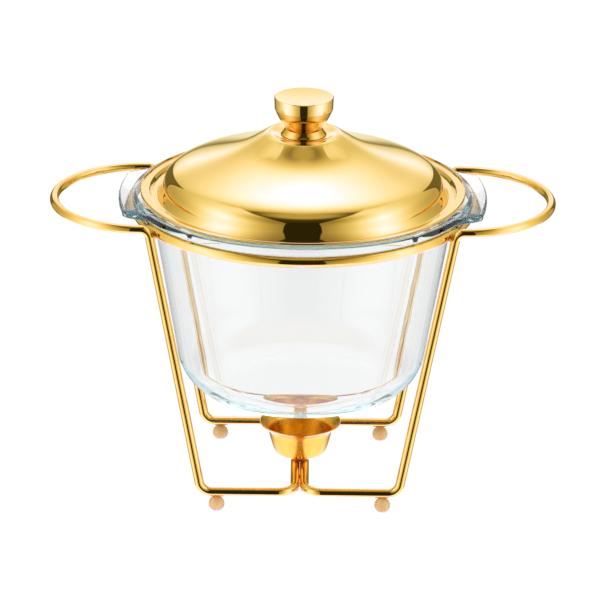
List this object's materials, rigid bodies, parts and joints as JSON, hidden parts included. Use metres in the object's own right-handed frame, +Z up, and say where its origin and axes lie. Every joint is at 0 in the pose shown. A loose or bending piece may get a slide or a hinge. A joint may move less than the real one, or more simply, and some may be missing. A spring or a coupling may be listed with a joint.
{
  "type": "chafing dish food warmer",
  "caption": "Round glass casserole with ear handles and a domed metal lid, on a bent-wire warming stand with loop handles, ball feet and a burner cup under the bowl.",
  "frame": {"origin": "middle of the footprint, on the table under the four ball feet", "axes": "+X towards the right handle loop, +Y away from the front, +Z up"},
  "size_m": [0.3202, 0.2186, 0.2576],
  "materials": {
    "plated_wire": "polished gold-coloured plating on steel wire",
    "weld": "plated-over weld bead",
    "plated_sheet": "satin gold-coloured plating on thin steel sheet",
    "stud": "plated steel",
    "ball_foot": "translucent, pearly",
    "clear_glass": "clear, thick pressed glass",
    "plated_lid": "mirror gold-coloured plating on steel sheet",
    "plated_knob": "mirror gold-coloured plating on turned metal",
    "screw_steel": "bright steel"
  },
  "bodies": {
    "stand": {"left_side_wire": "plated_wire", "right_side_wire": "plated_wire", "support_ring": "plated_wire", "ring_weld_front_left": "weld", "ring_weld_front_right": "weld", "ring_weld_back_left": "weld", "ring_weld_back_right": "weld", "centre_weld_front": "weld", "centre_weld_back": "weld", "burner_cup": "plated_sheet", "burner_weld_front": "weld", "burner_weld_back": "weld", "foot_stud_front_left": "stud", "foot_stud_front_right": "stud", "foot_stud_back_left": "stud", "foot_stud_back_right": "stud", "foot_ball_front_left": "ball_foot", "foot_ball_front_right": "ball_foot", "foot_ball_back_left": "ball_foot", "foot_ball_back_right": "ball_foot"},
    "bowl": {"glass_bowl": "clear_glass"},
    "lid": {"lid": "plated_lid", "knob_collar": "plated_knob", "knob": "plated_knob", "knob_washer": "plated_knob", "knob_screw": "screw_steel"}
  },
  "joints": [
    {"name": "bowl_lift", "type": "slide", "parent": "stand", "child": "bowl", "axis": [0, 0, 1], "range_m": [0, 0.14]},
    {"name": "lid_lift", "type": "slide", "parent": "bowl", "child": "lid", "axis": [0, 0, 1], "range_m": [0, 0.08]}
  ]
}
